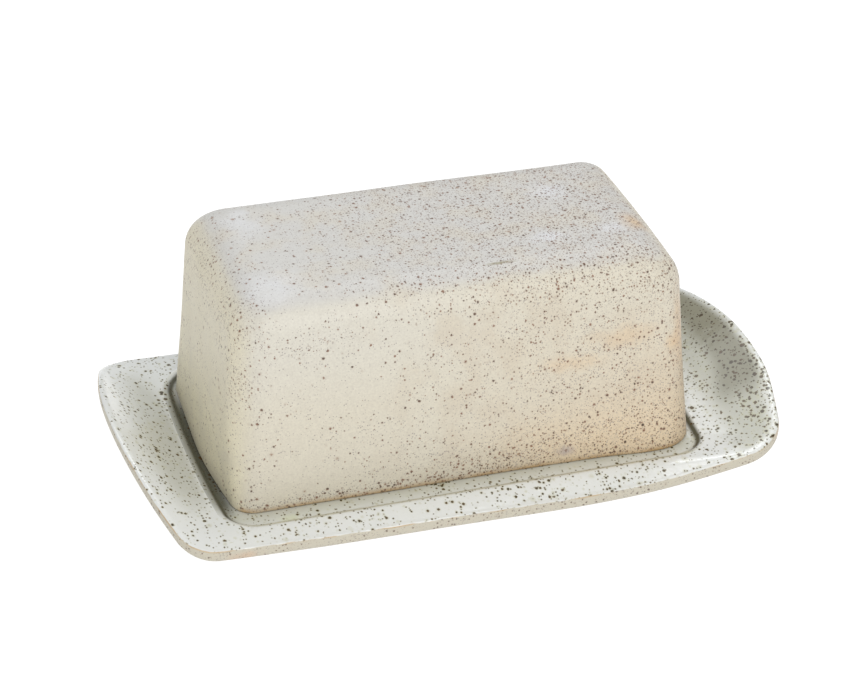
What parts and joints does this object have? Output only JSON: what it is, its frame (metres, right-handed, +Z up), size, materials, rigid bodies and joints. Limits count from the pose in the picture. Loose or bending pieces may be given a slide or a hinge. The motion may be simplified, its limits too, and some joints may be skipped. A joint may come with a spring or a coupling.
{
  "type": "covered butter dish",
  "caption": "Speckled stoneware butter dish: a box-shaped cover with soft edges standing in the sunk well of a tray with upturned ends.",
  "frame": {"origin": "under the middle of the tray, on the surface the dish stands on", "axes": "+X along the length towards the more level end, +Y towards the back, +Z up"},
  "size_m": [0.2221, 0.1242, 0.0764],
  "materials": {
    "tray_glaze": "gloss white glaze with brown iron specks, matt cream outside",
    "cover_glaze": "satin cream glaze with fine brown specks, toasted lower edge"
  },
  "bodies": {
    "tray": {"tray": "tray_glaze"},
    "cover": {"cover": "cover_glaze"}
  },
  "joints": [
    {"name": "cover_lift", "type": "slide", "parent": "tray", "child": "cover", "axis": [0, 0, 1], "range_m": [0, 0.12]}
  ]
}
